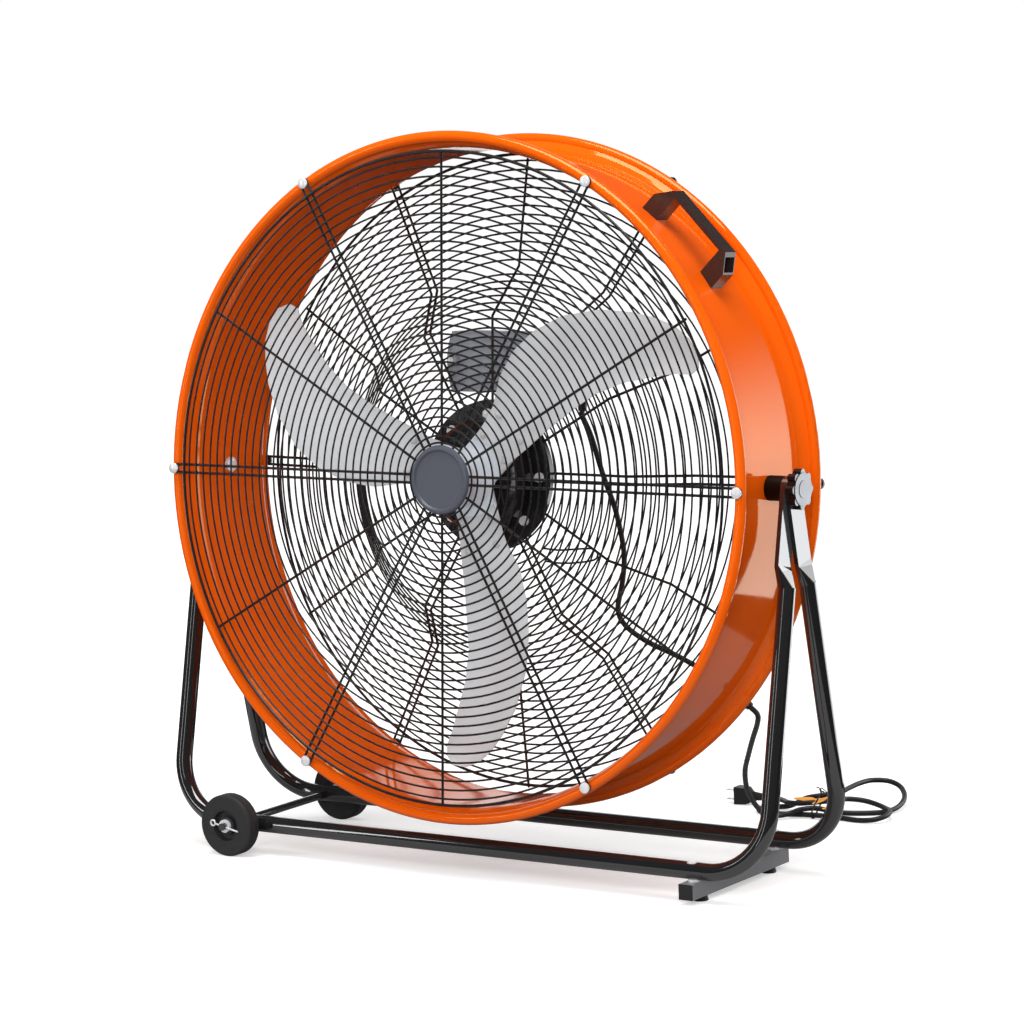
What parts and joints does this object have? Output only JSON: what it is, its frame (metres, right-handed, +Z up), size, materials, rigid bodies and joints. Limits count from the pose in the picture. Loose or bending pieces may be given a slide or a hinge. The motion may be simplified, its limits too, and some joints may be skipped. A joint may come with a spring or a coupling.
{
  "type": "drum fan",
  "caption": "Portable drum fan on a tilting tubular stand with wheels, wire grilles, three blades, a carrying handle and a tied mains lead.",
  "frame": {"origin": "on the floor, at the middle of the bottom of the box round the fan without its mains lead", "axes": "+Z up; the front grille faces -Y; the tilting pivots lie along X; the wheels are at -X and the foot bar at +X"},
  "size_m": [0.9314, 0.6794, 0.9446],
  "materials": {
    "tube_black": "gloss",
    "paper_strip": "satin",
    "plated": "satin",
    "bar_grey": "satin",
    "black_plastic": "satin",
    "rubber_black": "matte",
    "tyre_black": "matte",
    "hub_plastic": "satin",
    "drum_orange": "gloss",
    "handle_grey": "gloss",
    "wire_black": "gloss",
    "cap_slate": "satin",
    "motor_black": "gloss",
    "shaft_steel": "satin",
    "hub_grey": "satin",
    "blade_grey": "satin",
    "box_slate": "satin",
    "cord_black": "satin"
  },
  "bodies": {
    "stand": {"front_frame_tube": "tube_black", "rear_frame_tube": "tube_black", "wheel_axle": "tube_black", "axle_washers": "plated", "axle_clips": "plated", "foot_bar": "bar_grey", "foot_bar_caps": "black_plastic", "foot_bar_bolts": "plated", "foot_bar_spacers": "plated", "rubber_feet": "rubber_black", "cord_hank": "cord_black", "hank_tie": "cord_black", "mains_plug": "cord_black", "plug_pins": "plated"},
    "front_wheel": {"front_tyre": "tyre_black", "front_wheel_hub": "hub_plastic"},
    "rear_wheel": {"rear_tyre": "tyre_black", "rear_wheel_hub": "hub_plastic"},
    "drum": {"drum_shell": "drum_orange", "drum_handle": "handle_grey", "front_grille": "wire_black", "front_grille_centre": "wire_black", "front_grille_screws": "plated", "front_cap": "cap_slate", "rear_grille": "wire_black", "rear_grille_dish": "wire_black", "rear_grille_screws": "plated", "pivot_spacers": "black_plastic", "pivot_bolts": "plated", "motor_housing": "motor_black", "motor_flange": "motor_black", "motor_clamp_ring": "motor_black", "motor_bolts": "plated", "switch_box": "box_slate", "switch_box_cover": "box_slate", "switch_box_screws": "plated", "cord_gland": "black_plastic", "cord_clip": "black_plastic", "power_cord": "cord_black"},
    "rotor": {"motor_shaft": "shaft_steel", "rotor_hub": "hub_grey", "blade_1": "blade_grey", "blade_2": "blade_grey", "blade_3": "blade_grey", "blade_rivets": "plated", "shaft_nut": "plated"},
    "left_knob": {"left_star_knob": "black_plastic"},
    "right_knob": {"right_star_knob": "black_plastic"},
    "dial": {"switch_dial": "black_plastic"}
  },
  "joints": [
    {"name": "drum_tilt", "type": "hinge", "parent": "stand", "child": "drum", "pos_m": [0, 0, 0.502], "axis": [1, 0, 0], "range_deg": [-90, 90], "deforming": ["power_cord"]},
    {"name": "rotor_spin", "type": "hinge", "parent": "drum", "child": "rotor", "pos_m": [0, 0, 0.502], "axis": [0, 0.9978, -0.0663], "continuous": true},
    {"name": "front_wheel_roll", "type": "hinge", "parent": "stand", "child": "front_wheel", "pos_m": [-0.346, -0.124, 0.041], "axis": [0, 1, 0], "continuous": true},
    {"name": "rear_wheel_roll", "type": "hinge", "parent": "stand", "child": "rear_wheel", "pos_m": [-0.346, 0.124, 0.041], "axis": [0, 1, 0], "continuous": true},
    {"name": "left_knob_turn", "type": "hinge", "parent": "drum", "child": "left_knob", "pos_m": [-0.46, 0, 0.502], "axis": [1, 0, 0], "continuous": true},
    {"name": "right_knob_turn", "type": "hinge", "parent": "drum", "child": "right_knob", "pos_m": [0.46, 0, 0.502], "axis": [1, 0, 0], "continuous": true},
    {"name": "speed_dial_turn", "type": "hinge", "parent": "drum", "child": "dial", "pos_m": [0.018, 0.08937, 0.64038], "axis": [0, 0.9978, -0.0663], "range_deg": [0, 135]}
  ]
}
